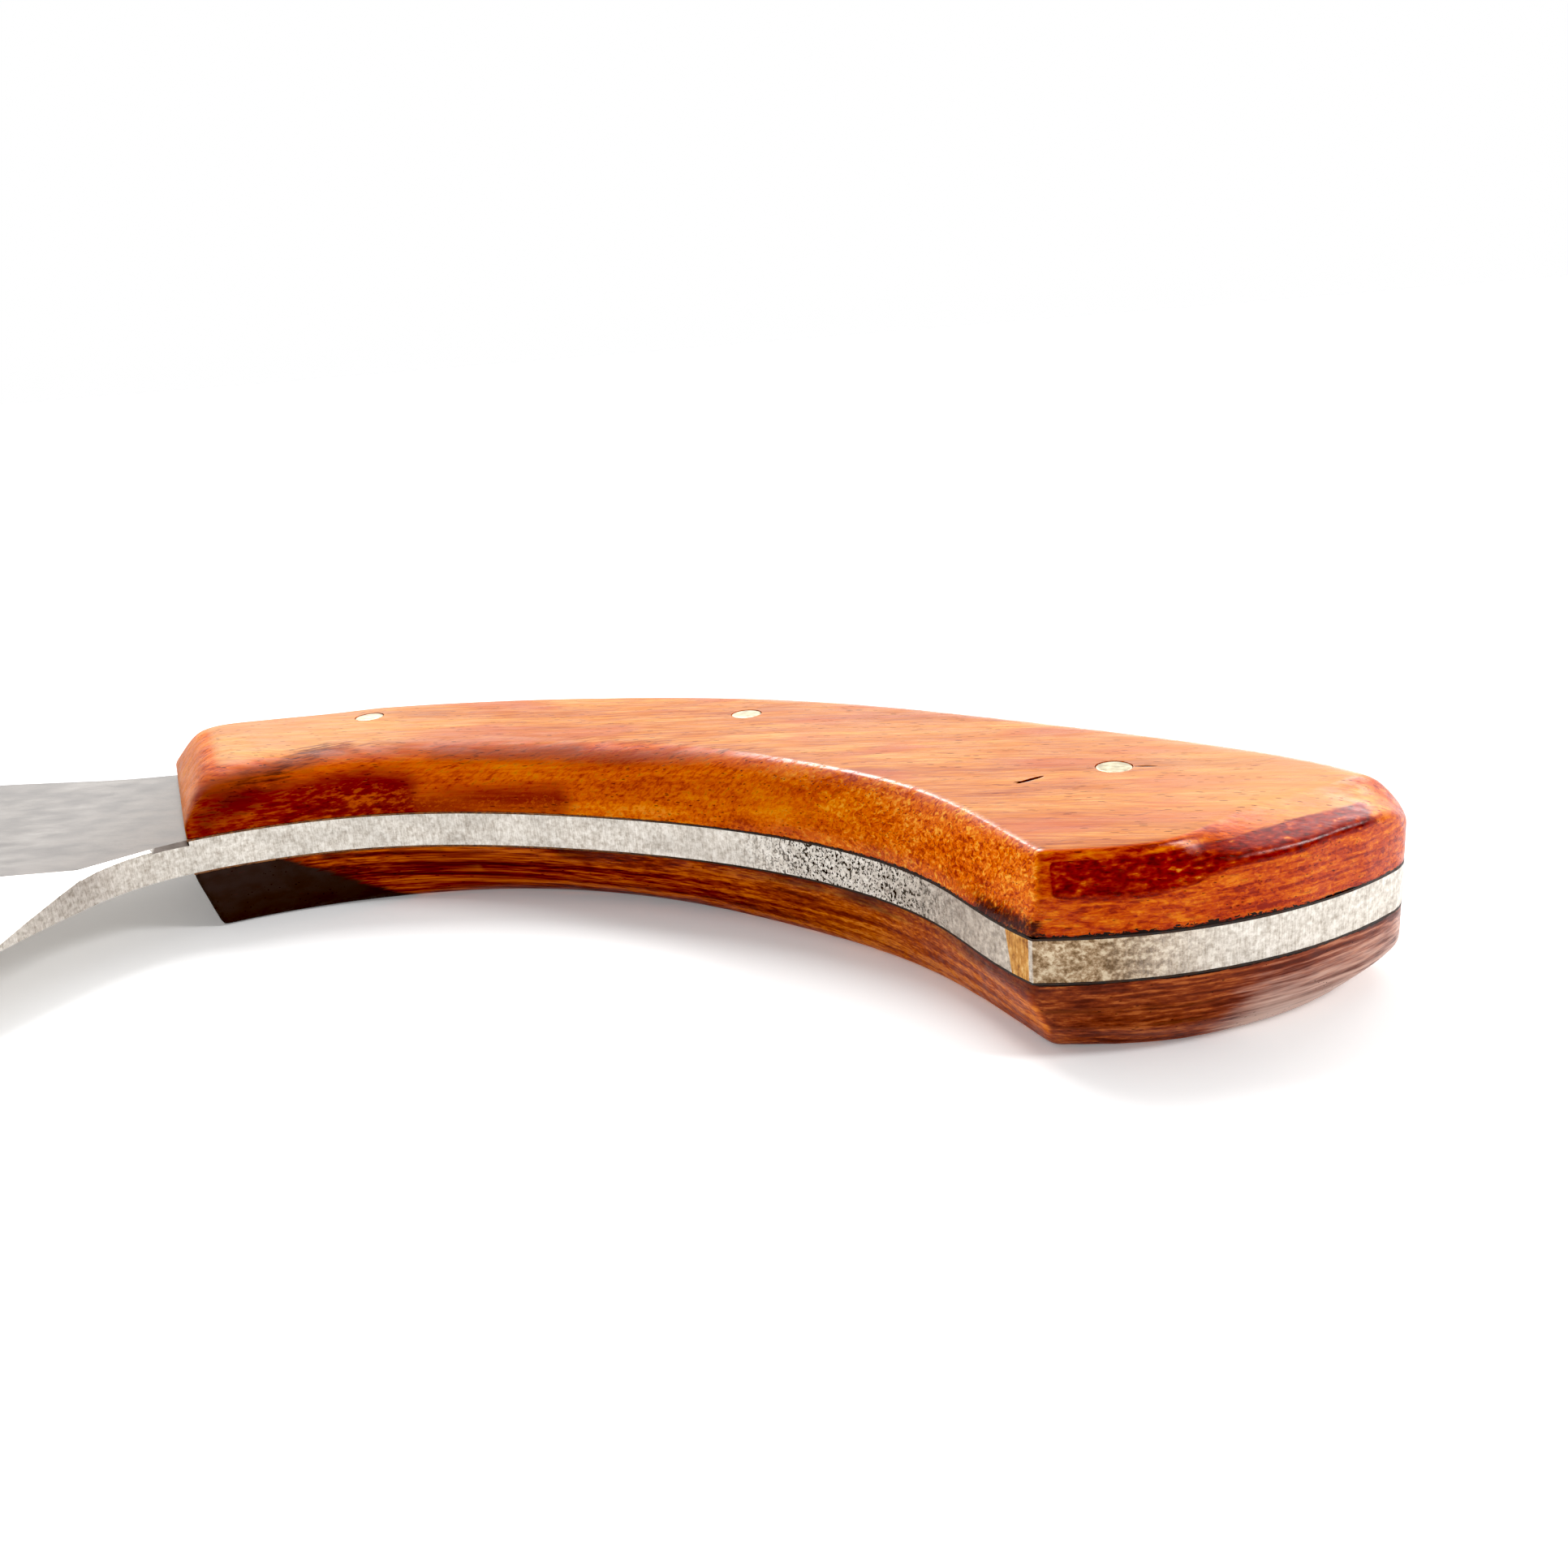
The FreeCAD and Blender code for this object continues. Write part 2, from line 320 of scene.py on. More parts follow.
# --- materials ---
def colour(red, green, blue):
    """A linear colour from display values of 0 to 255."""
    linear = []
    for value in (red, green, blue):
        value = value / 255
        linear.append(value / 12.92 if value <= 0.04045 else ((value + 0.055) / 1.055) ** 2.4)
    return (*linear, 1.0)


class Finish:
    """Short forms for building one material's node tree."""

    def __init__(self, name):
        self.material = bpy.data.materials.new(name)
        self.material.use_nodes = True
        self.tree = self.material.node_tree
        self.tree.nodes.clear()
        self.shader = self.node("ShaderNodeBsdfPrincipled")
        output = self.node("ShaderNodeOutputMaterial")
        self.tree.links.new(self.shader.outputs[0], output.inputs["Surface"])
        self.place = self.scaled(self.node("ShaderNodeTexCoord").outputs["Object"], 1 / MM)

    def node(self, kind, **settings):
        made = self.tree.nodes.new(kind)
        for key, value in settings.items():
            setattr(made, key, value)
        return made

    def feed(self, socket, value):
        """Links another node's output to the socket, or sets a plain value on it."""
        if isinstance(value, bpy.types.NodeSocket):
            self.tree.links.new(value, socket)
        else:
            socket.default_value = value

    def set(self, **values):
        """Sets or links the shader's own sockets, by name."""
        for key, value in values.items():
            self.feed(self.shader.inputs[key.replace("_", " ")], value)

    def scaled(self, vector, factor):
        made = self.node("ShaderNodeVectorMath", operation="SCALE")
        self.feed(made.inputs[0], vector)
        made.inputs["Scale"].default_value = factor
        return made.outputs[0]

    def grain(self, sizes, turn=GRAIN_TURN, tilt=0.0, roll=0.0, vector=None):
        """Coordinates in which one unit is this long along, across and up the grain."""
        turned = self.node("ShaderNodeMapping", vector_type="TEXTURE")
        self.feed(turned.inputs["Vector"], vector or self.place)
        turned.inputs["Rotation"].default_value = [math.radians(v) for v in (roll, tilt, turn)]
        turned.inputs["Scale"].default_value = sizes
        return turned.outputs[0]

    def noise(self, vector, detail=2.0, roughness=0.5, distortion=0.0):
        """A soft random value of 0 to 1 over the surface."""
        made = self.node("ShaderNodeTexNoise")
        self.feed(made.inputs["Vector"], vector)
        made.inputs["Scale"].default_value = 1.0
        made.inputs["Detail"].default_value = detail
        made.inputs["Roughness"].default_value = roughness
        made.inputs["Distortion"].default_value = distortion
        return made.outputs["Fac"]

    def cells(self, vector):
        """Distance from the nearest of many scattered points."""
        made = self.node("ShaderNodeTexVoronoi", feature="F1")
        self.feed(made.inputs["Vector"], vector)
        made.inputs["Scale"].default_value = 1.0
        made.inputs["Randomness"].default_value = 1.0
        return made.outputs["Distance"]

    def maths(self, operation, first, second=0.0, third=0.0):
        made = self.node("ShaderNodeMath", operation=operation)
        for socket, value in zip(made.inputs, (first, second, third)):
            self.feed(socket, value)
        return made.outputs[0]

    def band(self, value, start, end, low=0.0, high=1.0):
        """low before start, high after end, smooth between."""
        made = self.node("ShaderNodeMapRange", interpolation_type="SMOOTHSTEP")
        for socket, number in zip(made.inputs, (value, start, end, low, high)):
            self.feed(socket, number)
        return made.outputs[0]

    def ramp(self, value, stops):
        """A colour for each value, from stops of position and colour."""
        made = self.node("ShaderNodeValToRGB")
        self.feed(made.inputs[0], value)
        elements = made.color_ramp.elements
        while len(elements) < len(stops):
            elements.new(0.5)
        for element, (position, tone) in zip(elements, stops):
            element.position = position
            element.color = tone
        return made.outputs[0]

    def mix(self, share, first, second):
        """The first colour, with this share of the second."""
        made = self.node("ShaderNodeMix", data_type="RGBA", blend_type="MIX")
        self.feed(made.inputs[0], share)
        self.feed(made.inputs[6], first)
        self.feed(made.inputs[7], second)
        return made.outputs[2]

    def painted(self, name):
        """A share that paint() stored."""
        return self.node("ShaderNodeAttribute", attribute_name=name).outputs["Fac"]

    def normal(self):
        return self.node("ShaderNodeNewGeometry").outputs["Normal"]

    def facing(self, direction):
        """How squarely the surface faces a direction."""
        made = self.node("ShaderNodeVectorMath", operation="DOT_PRODUCT")
        self.feed(made.inputs[0], self.normal())
        made.inputs[1].default_value = Vector(direction).normalized()
        return made.outputs["Value"]

    def height(self, value, depth, below=None):
        """A bump of this depth in millimetres."""
        made = self.node("ShaderNodeBump")
        made.inputs["Strength"].default_value = 1.0
        made.inputs["Distance"].default_value = depth * MM
        self.feed(made.inputs["Height"], value)
        if below:
            self.feed(made.inputs["Normal"], below)
        return made.outputs[0]


def wandering(f, amount=4.0):
    """The place, with its grain lines wandering slowly from side to side."""
    wander = f.noise(f.grain((26, 9, 9)), detail=1.0)
    shift = f.node("ShaderNodeCombineXYZ")
    f.feed(shift.inputs[1], f.maths("MULTIPLY", wander, amount))
    moved = f.node("ShaderNodeVectorMath", operation="ADD")
    f.feed(moved.inputs[0], f.place)
    f.feed(moved.inputs[1], shift.outputs[0])
    return moved.outputs[0]


def axis_of(f, index):
    """The place along one axis, in millimetres."""
    split = f.node("ShaderNodeSeparateXYZ")
    f.feed(split.inputs[0], f.place)
    return split.outputs[index]


def pore_marks(f, place, length, width, crowding, size):
    """Open pores: dashes along the grain, and dots where the surface cuts across it."""
    cells = f.cells(f.grain((length, width, width), vector=place))
    where = f.noise(f.grain((9.0, 2.5, 2.5)), detail=1.0)
    reach = f.band(where, crowding - 0.08, crowding + 0.08, 0.0, size)
    return f.maths("LESS_THAN", cells, reach)


def soft_edge(f, name, texture, width=0.5, wobble=1.6):
    """A painted share whose border follows a texture."""
    shifted = f.maths("MULTIPLY_ADD", f.maths("SUBTRACT", texture, 0.5), wobble, f.painted(name))
    return f.band(shifted, 0.5 - width / 2, 0.5 + width / 2)


def seam_stain(f, seat, rise, texture):
    """Dark glue drawn into the grain beside the seat, as thick as the painted share says."""
    above = f.maths("MULTIPLY", f.maths("SUBTRACT", axis_of(f, 2), seat), rise)
    reach = f.maths("MULTIPLY", f.painted("seam"), f.band(texture, 0.38, 0.62, 0.25, 1.0))
    return f.band(f.maths("SUBTRACT", above, reach), -0.06, 0.06, 1.0, 0.0)


def mean_of(f, first, share, second):
    """A share of one value and the rest of another."""
    return f.maths("MULTIPLY_ADD", first, share, f.maths("MULTIPLY", second, 1 - share))


def upper_wood():
    """Oiled orange-red wood: a figured side, a top painted paler as a sheen, a streaked butt with
    a dark facet that is partly painted shade.
    """
    f = Finish("upper_wood")
    place = wandering(f)
    bands = f.noise(f.grain((34, 4.0, 2.4), vector=place), detail=4.0, roughness=0.6)
    lines = f.noise(f.grain((6.0, 0.30, 0.30), vector=place), detail=4.0, roughness=0.7)
    curls = f.noise(
        f.grain((1.1, 0.36, 0.36), vector=place), detail=3.0, roughness=0.6, distortion=0.8
    )
    ripple = f.noise(f.grain((2.0, 0.30, 0.45), turn=12.0, roll=24.0), detail=3.0, roughness=0.65)

    # the side along the fingers
    tone = mean_of(f, bands, 0.40, mean_of(f, lines, 0.35, ripple))
    side = f.ramp(tone, [
        (0.40, colour(160, 48, 0)),
        (0.47, colour(208, 86, 3)),
        (0.53, colour(230, 112, 8)),
        (0.60, colour(246, 150, 40)),
    ])
    spots = f.ramp(mean_of(f, curls, 0.75, bands), [
        (0.38, colour(158, 40, 0)),
        (0.46, colour(214, 88, 4)),
        (0.54, colour(238, 116, 10)),
        (0.64, colour(255, 180, 64)),
    ])
    base = f.mix(f.painted("flecks"), side, spots)
    # darker red low on the near side and by the seat: painted shade
    deep = f.ramp(mean_of(f, ripple, 0.6, bands), [
        (0.40, colour(104, 12, 0)),
        (0.50, colour(138, 32, 0)),
        (0.60, colour(200, 86, 4)),
    ])
    base = f.mix(soft_edge(f, "deep", ripple, 0.7), base, deep)
    base = f.mix(f.maths("MULTIPLY", f.painted("front"), 0.6), base, colour(238, 138, 56))

    # the flat top, painted paler and yellower than the side as a sheen
    top = f.ramp(mean_of(f, bands, 0.45, lines), [
        (0.38, colour(152, 70, 22)),
        (0.46, colour(188, 104, 32)),
        (0.53, colour(202, 124, 46)),
        (0.61, colour(220, 152, 76)),
    ])
    thin = f.noise(f.grain((4.0, 0.16, 0.16), vector=place), detail=3.0, roughness=0.7)
    top = f.mix(f.band(thin, 0.36, 0.50, 0.55, 0.0), top, colour(146, 66, 26))
    flush = f.noise(f.grain((16, 6, 6), vector=place), detail=3.0)
    top = f.mix(f.band(flush, 0.50, 0.62, 0.0, 0.6), top, colour(182, 84, 44))
    # paler still towards both ends of the top: a painted reflection
    x = axis_of(f, 0)
    ends = f.maths("ADD", f.band(x, -50, -26, 0.75, 0.0), f.band(x, 26, 46, 0.0, 0.7))
    top = f.mix(ends, top, f.mix(0.5, top, colour(238, 178, 112)))
    up = f.facing((0, 0, 1))
    base = f.mix(f.band(up, 0.93, 0.99), base, top)

    # the butt
    along = f.noise(f.grain((5.0, 1.0, 0.45), turn=21.0), detail=4.0, roughness=0.65)
    butt = f.ramp(mean_of(f, along, 0.6, curls), [
        (0.40, colour(136, 26, 0)),
        (0.47, colour(180, 56, 0)),
        (0.54, colour(202, 84, 2)),
        (0.61, colour(222, 118, 14)),
    ])
    steep = f.band(up, 0.75, 0.9, 1.0, 0.0)
    base = f.mix(f.maths("MULTIPLY", f.painted("butt"), steep), base, butt)
    # the butt facet's dark red: partly darker end grain, partly painted shade
    dots = f.noise(f.grain((0.8, 0.5, 0.4), turn=21.0), detail=2.0, roughness=0.5)
    facet = f.ramp(mean_of(f, along, 0.4, dots), [
        (0.36, colour(84, 6, 0)),
        (0.47, colour(126, 14, 0)),
        (0.56, colour(154, 34, 0)),
        (0.63, colour(182, 66, 8)),
        (0.70, colour(226, 140, 54)),
    ])
    base = f.mix(soft_edge(f, "facet", along, 0.35, 1.0), base, facet)

    # painted shade: a darker brown band along the rounding of the near ridge
    base = f.mix(soft_edge(f, "mauve", ripple, 0.9), base, colour(146, 60, 22))
    base = f.mix(soft_edge(f, "shade", ripple, 0.9), base, colour(62, 14, 4))
    # painted shade inside the gouge and slits
    base = f.mix(f.painted("hollow"), base, colour(52, 14, 6))
    pore = pore_marks(f, place, 2.2, 0.32, 0.42, 0.16)
    base = f.mix(f.maths("MULTIPLY", pore, 0.8), base, colour(74, 22, 6))
    base = f.mix(seam_stain(f, UPPER_SEAT, 1, curls), base, colour(24, 10, 6))
    f.set(Base_Color=base, IOR=1.5, Specular_IOR_Level=0.22)
    rough = f.band(f.noise(f.grain((5, 1.0, 1.0)), detail=4.0), 0.35, 0.65, 0.26, 0.42)
    dull = f.maths("MAXIMUM", pore, f.painted("soft"))
    f.set(Roughness=f.maths("MULTIPLY_ADD", dull, 0.2, rough))
    sheen_patches = f.band(f.noise(f.grain((0.9, 0.4, 0.4)), detail=3.0, roughness=0.7), 0.38, 0.48)
    f.set(Coat_Weight=f.maths("MULTIPLY", sheen_patches, f.painted("polish")), Coat_Roughness=0.20)
    relief = f.height(mean_of(f, lines, 0.5, curls), 0.03)
    relief = f.height(f.maths("SUBTRACT", 1.0, pore), 0.06, below=relief)
    f.set(Normal=relief)
    return f.material


def lower_wood():
    """Darker wood in fine layers, black at the front, with a pale sheen painted under the butt.
    """
    f = Finish("lower_wood")
    place = wandering(f, 2.0)
    layers = f.noise(f.grain((50, 9, 0.8), tilt=1.5, vector=place), detail=4.0, roughness=0.55)
    lines = f.noise(f.grain((7.0, 0.5, 0.2), vector=place), detail=3.0, roughness=0.6)
    tone = mean_of(f, layers, 0.6, lines)
    base = f.ramp(tone, [
        (0.40, colour(62, 10, 2)),
        (0.46, colour(104, 22, 2)),
        (0.52, colour(150, 50, 4)),
        (0.60, colour(212, 104, 18)),
    ])
    warm = f.ramp(tone, [
        (0.40, colour(108, 30, 2)),
        (0.47, colour(150, 58, 4)),
        (0.53, colour(186, 86, 10)),
        (0.60, colour(226, 130, 36)),
    ])
    base = f.mix(f.painted("warm"), base, warm)
    along = f.noise(f.grain((10.0, 1.6, 0.42), turn=21.0), detail=4.0, roughness=0.6)
    curls = f.noise(f.grain((1.3, 0.35, 0.25), turn=21.0), detail=2.0, roughness=0.6)
    butt = f.ramp(mean_of(f, along, 0.75, curls), [
        (0.40, colour(84, 30, 16)),
        (0.48, colour(114, 46, 24)),
        (0.54, colour(138, 60, 28)),
        (0.61, colour(178, 94, 46)),
    ])
    base = f.mix(f.painted("butt"), base, butt)
    base = f.mix(soft_edge(f, "tan", layers, 0.8), base, colour(214, 110, 30))
    base = f.mix(soft_edge(f, "mauve", layers, 0.9), base, colour(62, 22, 18))
    stained = soft_edge(f, "deep", lines, 0.6)
    plain = f.maths("SUBTRACT", 1.0, stained)
    base = f.mix(stained, base, colour(50, 37, 33))
    # a pale greyish sheen painted on the lower rounding under the butt: a painted reflection
    sheen_patches = f.band(f.painted("sheen_patches"), 0.0, 0.15)
    sheen_patches = f.maths("MULTIPLY", soft_edge(f, "sheen_patches", along, 0.9), sheen_patches)
    base = f.mix(sheen_patches, base, colour(204, 172, 158))
    pore = pore_marks(f, place, 2.0, 0.34, 0.48, 0.13)
    base = f.mix(f.maths("MULTIPLY", pore, 0.8), base, colour(22, 10, 8))
    base = f.mix(seam_stain(f, LOWER_SEAT, -1, lines), base, colour(24, 10, 6))
    f.set(Base_Color=base, IOR=1.5, Specular_IOR_Level=0.22)
    rough = f.band(f.noise(f.grain((5, 1.0, 1.0)), detail=4.0), 0.35, 0.65, 0.30, 0.46)
    f.set(Roughness=f.maths("MULTIPLY_ADD", f.maths("MAXIMUM", pore, stained), 0.2, rough))
    fibres = f.maths("SUBTRACT", mean_of(f, lines, 0.5, curls), 0.5)
    relief = f.height(f.maths("MULTIPLY", fibres, plain), 0.03)
    open_pore = f.maths("MULTIPLY", pore, plain)
    relief = f.height(f.maths("SUBTRACT", 1.0, open_pore), 0.06, below=relief)
    f.set(Normal=relief)
    return f.material


def beyond_corner(f):
    """How far past the near corner a place is, towards the butt end."""
    made = f.node("ShaderNodeVectorMath", operation="DOT_PRODUCT")
    f.feed(made.inputs[0], f.place)
    made.inputs[1].default_value = (*BUTT_WAY, 0)
    start = BUTT_WAY[0] * NEAR_CORNER[0] + BUTT_WAY[1] * NEAR_CORNER[1]
    return f.maths("SUBTRACT", made.outputs["Value"], start)


def curved_grain(f, sizes):
    """Coordinates that run round the middle of the blade's curve, across it and up."""
    centre = (STEEL_LOW + STEEL_HIGH) / 2
    made = f.node("ShaderNodeVectorMath", operation="SUBTRACT")
    f.feed(made.inputs[0], f.place)
    made.inputs[1].default_value = (centre[0] + CURVE_SHIFT[0], centre[1] + CURVE_SHIFT[1], 0)
    split = f.node("ShaderNodeSeparateXYZ")
    f.feed(split.inputs[0], made.outputs[0])
    x, y, z = split.outputs
    turn = f.maths("ARCTAN2", y, f.maths("MULTIPLY", x, -1.0))
    reach = f.maths("SQRT", f.maths("MULTIPLY_ADD", x, x, f.maths("MULTIPLY", y, y)))
    joined = f.node("ShaderNodeCombineXYZ")
    f.feed(joined.inputs[0], f.maths("MULTIPLY", turn, CURVE_REACH / sizes[0]))
    f.feed(joined.inputs[1], f.maths("DIVIDE", reach, sizes[1]))
    f.feed(joined.inputs[2], f.maths("DIVIDE", z, sizes[2]))
    return joined.outputs[0]


def steel():
    """Satin steel, brushed on its flats and stained and pitted along the rim."""
    f = Finish("brushed_steel")
    up = f.facing((0, 0, 1))
    flat = f.band(up, 0.994, 0.999)
    side = f.band(up, 0.5, 0.8, 1.0, 0.0)
    x = axis_of(f, 0)

    # flats and bevels, ground lengthwise
    round_blade = f.band(axis_of(f, 1), -26, -14, 1.0, 0.0)
    brushed = f.mix(
        round_blade,
        f.noise(f.grain((18.0, 0.14, 0.14), turn=-4.0), detail=3.0, roughness=0.7),
        f.noise(curved_grain(f, (16.0, 0.14, 0.14)), detail=3.0, roughness=0.7),
    )
    cloud = f.mix(
        round_blade,
        f.noise(f.grain((5.0, 2.4, 2.4), turn=-4.0), detail=5.0, roughness=0.6),
        f.noise(curved_grain(f, (12.0, 2.4, 2.4)), detail=5.0, roughness=0.6),
    )
    top = f.ramp(mean_of(f, brushed, 0.25, cloud), [
        (0.36, colour(108, 102, 98)),
        (0.50, colour(121, 116, 112)),
        (0.64, colour(134, 130, 126)),
    ])
    dull = f.band(f.maths("MULTIPLY_ADD", cloud, 10.0, x), -72, -54)
    top = f.mix(f.maths("MULTIPLY", dull, 0.6), top, colour(96, 87, 80))
    ground = f.ramp(mean_of(f, brushed, 0.6, cloud), [
        (0.38, colour(206, 200, 192)),
        (0.6, colour(236, 232, 226)),
    ])
    base = f.mix(flat, ground, top)

    # the rim, sanded across and stained towards the butt
    beyond = beyond_corner(f)
    butt = f.band(f.facing((*BUTT_FACING, 0)), 0.0, 0.4)
    butt = f.maths("MULTIPLY", f.band(beyond, -0.1, 0.1), butt)
    patches = f.noise(f.grain((0.6, 0.6, 0.5), turn=0.0), detail=5.0, roughness=0.7)
    upright = f.noise(f.grain((0.14, 0.14, 1.0), turn=0.0), detail=2.0, roughness=0.6)
    edge = f.ramp(mean_of(f, upright, 0.35, patches), [
        (0.38, colour(168, 159, 148)),
        (0.48, colour(197, 190, 180)),
        (0.60, colour(222, 217, 209)),
    ])
    brown = f.ramp(patches, [
        (0.38, colour(96, 72, 46)),
        (0.50, colour(148, 122, 92)),
        (0.62, colour(194, 176, 148)),
    ])
    along = f.maths("MULTIPLY", f.band(x, 8, 18, 0.0, 0.35), f.maths("SUBTRACT", 1.0, butt))
    ends = f.maths("ADD", f.band(beyond, 4, 16, 0.95, 0.05), f.band(beyond, 22, 36, 0.0, 0.3))
    stain = f.maths("MULTIPLY_ADD", butt, ends, along)
    edge = f.mix(stain, edge, brown)
    grit = f.noise(f.grain((0.24, 0.24, 0.28), turn=0.0), detail=2.0, roughness=0.7)
    specks = f.band(mean_of(f, grit, 0.75, patches), 0.45, 0.48, 1.0, 0.0)
    zone = f.maths("MULTIPLY", f.band(x, -4, 6), f.band(x, 13, 18, 1.0, 0.0))
    zone = f.maths("MULTIPLY", zone, f.band(f.facing((0, -1, 0)), 0.0, 0.4))
    edge = f.mix(f.maths("MULTIPLY", specks, zone), edge, colour(34, 24, 16))
    base = f.mix(side, base, edge)
    # painted shade: the sloping rim just before the handle is darkened
    sloping = f.maths("MULTIPLY", f.band(up, 0.95, 0.98, 1.0, 0.0), f.band(up, 0.3, 0.5))
    groove = f.maths("MULTIPLY", sloping, f.band(x, -62.3, -61.8))
    base = f.mix(f.maths("MULTIPLY", groove, 0.85), base, colour(80, 66, 58))
    f.set(Base_Color=base, Metallic=0.9)
    f.set(Roughness=f.band(cloud, 0.35, 0.65, 0.30, 0.46))
    f.set(Normal=f.height(f.mix(side, brushed, grit), 0.008))
    return f.material


def inlay_metal():
    """Dull brass in patches, with a dark line and a pale sliver at its butt side."""
    f = Finish("inlay_metal")
    _, high = node_box("corner_inlay")
    patches = f.noise(f.grain((0.5, 0.5, 0.8), turn=0.0), detail=4.0, roughness=0.65)
    streaks = f.noise(f.grain((0.12, 0.12, 2.0), turn=0.0), detail=2.0)
    base = f.ramp(mean_of(f, patches, 0.65, streaks), [
        (0.38, colour(128, 76, 26)),
        (0.48, colour(190, 130, 58)),
        (0.56, colour(212, 160, 86)),
        (0.64, colour(232, 198, 140)),
    ])
    right = f.band(axis_of(f, 0), high[0] - 0.42, high[0] - 0.28)
    base = f.mix(f.maths("MULTIPLY", right, 0.75), base, colour(70, 40, 18))
    sliver = f.band(axis_of(f, 0), high[0] - 0.16, high[0] - 0.10)
    base = f.mix(sliver, base, colour(232, 220, 200))
    f.set(Base_Color=base, Metallic=0.5, Roughness=f.band(patches, 0.4, 0.6, 0.35, 0.55))
    f.set(Normal=f.height(patches, 0.02))
    return f.material


def glue():
    """Dark glue, paler towards the blade."""
    f = Finish("dark_glue")
    grains = f.noise(f.grain((0.5, 0.5, 0.2)), detail=4.0, roughness=0.7)
    dark = f.ramp(grains, [(0.40, colour(12, 7, 5)), (0.60, colour(58, 36, 22))])
    pale = f.ramp(grains, [(0.40, colour(70, 40, 22)), (0.60, colour(150, 100, 60))])
    f.set(Base_Color=f.mix(f.band(axis_of(f, 0), -24, -2), pale, dark))
    f.set(Roughness=f.band(grains, 0.4, 0.6, 0.5, 0.75))
    f.set(Normal=f.height(grains, 0.03))
    return f.material


def pin_metal():
    """Pale metal, scratched as it was sanded."""
    f = Finish("pin_metal")
    scratches = f.noise(f.grain((3.0, 0.10, 3.0), turn=-22.0), detail=3.0, roughness=0.7)
    patches = f.noise(f.grain((0.9, 0.9, 0.9)), detail=4.0)
    base = f.ramp(mean_of(f, scratches, 0.5, patches), [
        (0.38, colour(146, 132, 104)),
        (0.50, colour(184, 172, 142)),
        (0.62, colour(212, 204, 180)),
    ])
    f.set(Base_Color=base, Metallic=0.85, Roughness=f.band(patches, 0.4, 0.6, 0.30, 0.45))
    f.set(Normal=f.height(scratches, 0.006))
    return f.material


def dress(obj, material):
    """Gives a piece its material."""
    obj.data.materials.clear()
    obj.data.materials.append(material)


# --- pieces ---
def normals_of(obj):
    flat = np.empty(len(obj.data.vertices) * 3)
    obj.data.vertices.foreach_get("normal", flat)
    return flat.reshape(-1, 3)


def strokes(points, marks):
    """The strongest of several marks: start, end, radius and strength."""
    values = np.zeros(len(points))
    for start, end, radius, strength in marks:
        values = np.maximum(values, strength * near_line(points, start, end, radius))
    return values


def butt_share(points, normals):
    """1 on the butt end of the handle, 0 elsewhere, with a crisp border at the near corner."""
    beyond = (points[:, :2] - NEAR_CORNER) @ BUTT_WAY
    level = np.maximum(np.hypot(normals[:, 0], normals[:, 1]), 0.02)
    facing = normals[:, :2] @ BUTT_FACING / level
    return ease(beyond, -0.2, 0.4) * ease(facing, 0.0, 0.6)


def add_upper_scale():
    """The upper scale, with its marks by the rear pin and its painted shares."""
    marks = [
        ((*start, UPPER_CREST), (*end, UPPER_CREST), width, depth)
        for start, end, width, depth in TOP_MARKS
    ]
    obj = wooden_scale("upper_scale_wood", "upper_scale", UPPER_SEAT, UPPER_CREST, marks)
    points = points_of(obj)
    normals = normals_of(obj)
    x, _, z = points.T
    near = ease(-normals[:, 1] - normals[:, 0] * 0.3, 0.2, 0.5)
    butt = butt_share(points, normals)
    # painted shade: darker red low on the near side, by the seat
    deep = strokes(points, [
        ((-58, -6, 12.5), (-38, -3, 11.0), 6.5, 1.15),
        ((-36, -4, 11.0), (-20, -8, 11.5), 3.6, 0.75),
        ((10, -29, 10.8), (20, -46, 11.0), 3.2, 0.6),
    ])
    shade = strokes(points, [
        ((-57, -6, 12.2), (-51, -2.5, 14.6), 3.4, 0.5),
        ((-52, -2.5, 14.6), (-46, 1.4, 16.6), 2.2, 0.5),
        ((18, -41.5, 10.6), (21.2, -47.4, 11.0), 1.6, 0.9),
    ])
    # painted shade along the rounding of the near ridge
    mauve = strokes(points, [
        ((-56, -4, 15.0), (-44, 1.0, 16.8), 3.4, 0.75),
        ((-44, 0.5, 16.8), (-30, -1.8, 16.8), 2.6, 0.55),
        ((-33, -1.6, 16.6), (-18, -6.0, 16.2), 3.2, 0.7),
        ((-20, -6.0, 16.0), (2, -14.5, 16.2), 2.2, 0.6),
    ])
    # painted shade inside the marks cut into the top
    hollow = np.zeros(len(points))
    for start, end, *_ in marks:
        hollow = np.maximum(hollow, near_line(points, start, end, 2.0) > 0.2)
    ridge = ease(normals[:, 2], 0.35, 0.7) * (1 - ease(normals[:, 2], 0.975, 0.995))
    # the butt facet, painted dark red: partly end grain, partly shade
    lean = ease(normals[:, 2], 0.05, 0.16) * ease(UPPER_CREST - z, 0.5, 1.1)
    facet = butt * lean * ease(x, 22.2, 23.2) * (1 - ease(x, 47.5, 51.5))
    paint(obj, "deep", deep * near * (1 - butt))
    paint(obj, "shade", shade)
    paint(obj, "mauve", mauve)
    paint(obj, "flecks", near * ease(x, -4, 16) * (1 - butt))
    paint(obj, "facet", facet)
    paint(obj, "butt", butt)
    paint(obj, "soft", 1 - ease(x, -15, 10))
    paint(obj, "front", ease(-normals[:, 0], 0.45, 0.85) * (1 - ease(x, -52, -46)))
    paint(obj, "hollow", hollow * ease(UPPER_CREST - z, 0.01, 0.06))
    paint(obj, "polish", ridge * ease(x, -4, 8) * (1 - 0.85 * butt))
    seam = (0.42 - 0.3 * ease(x, 36, 46)) * butt
    paint(obj, "seam", 0.06 + seam + 0.16 * ease(x, -5, 14) * (1 - butt))
    dress(obj, upper_wood())
    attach(obj, "root")
    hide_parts("upper_scale")


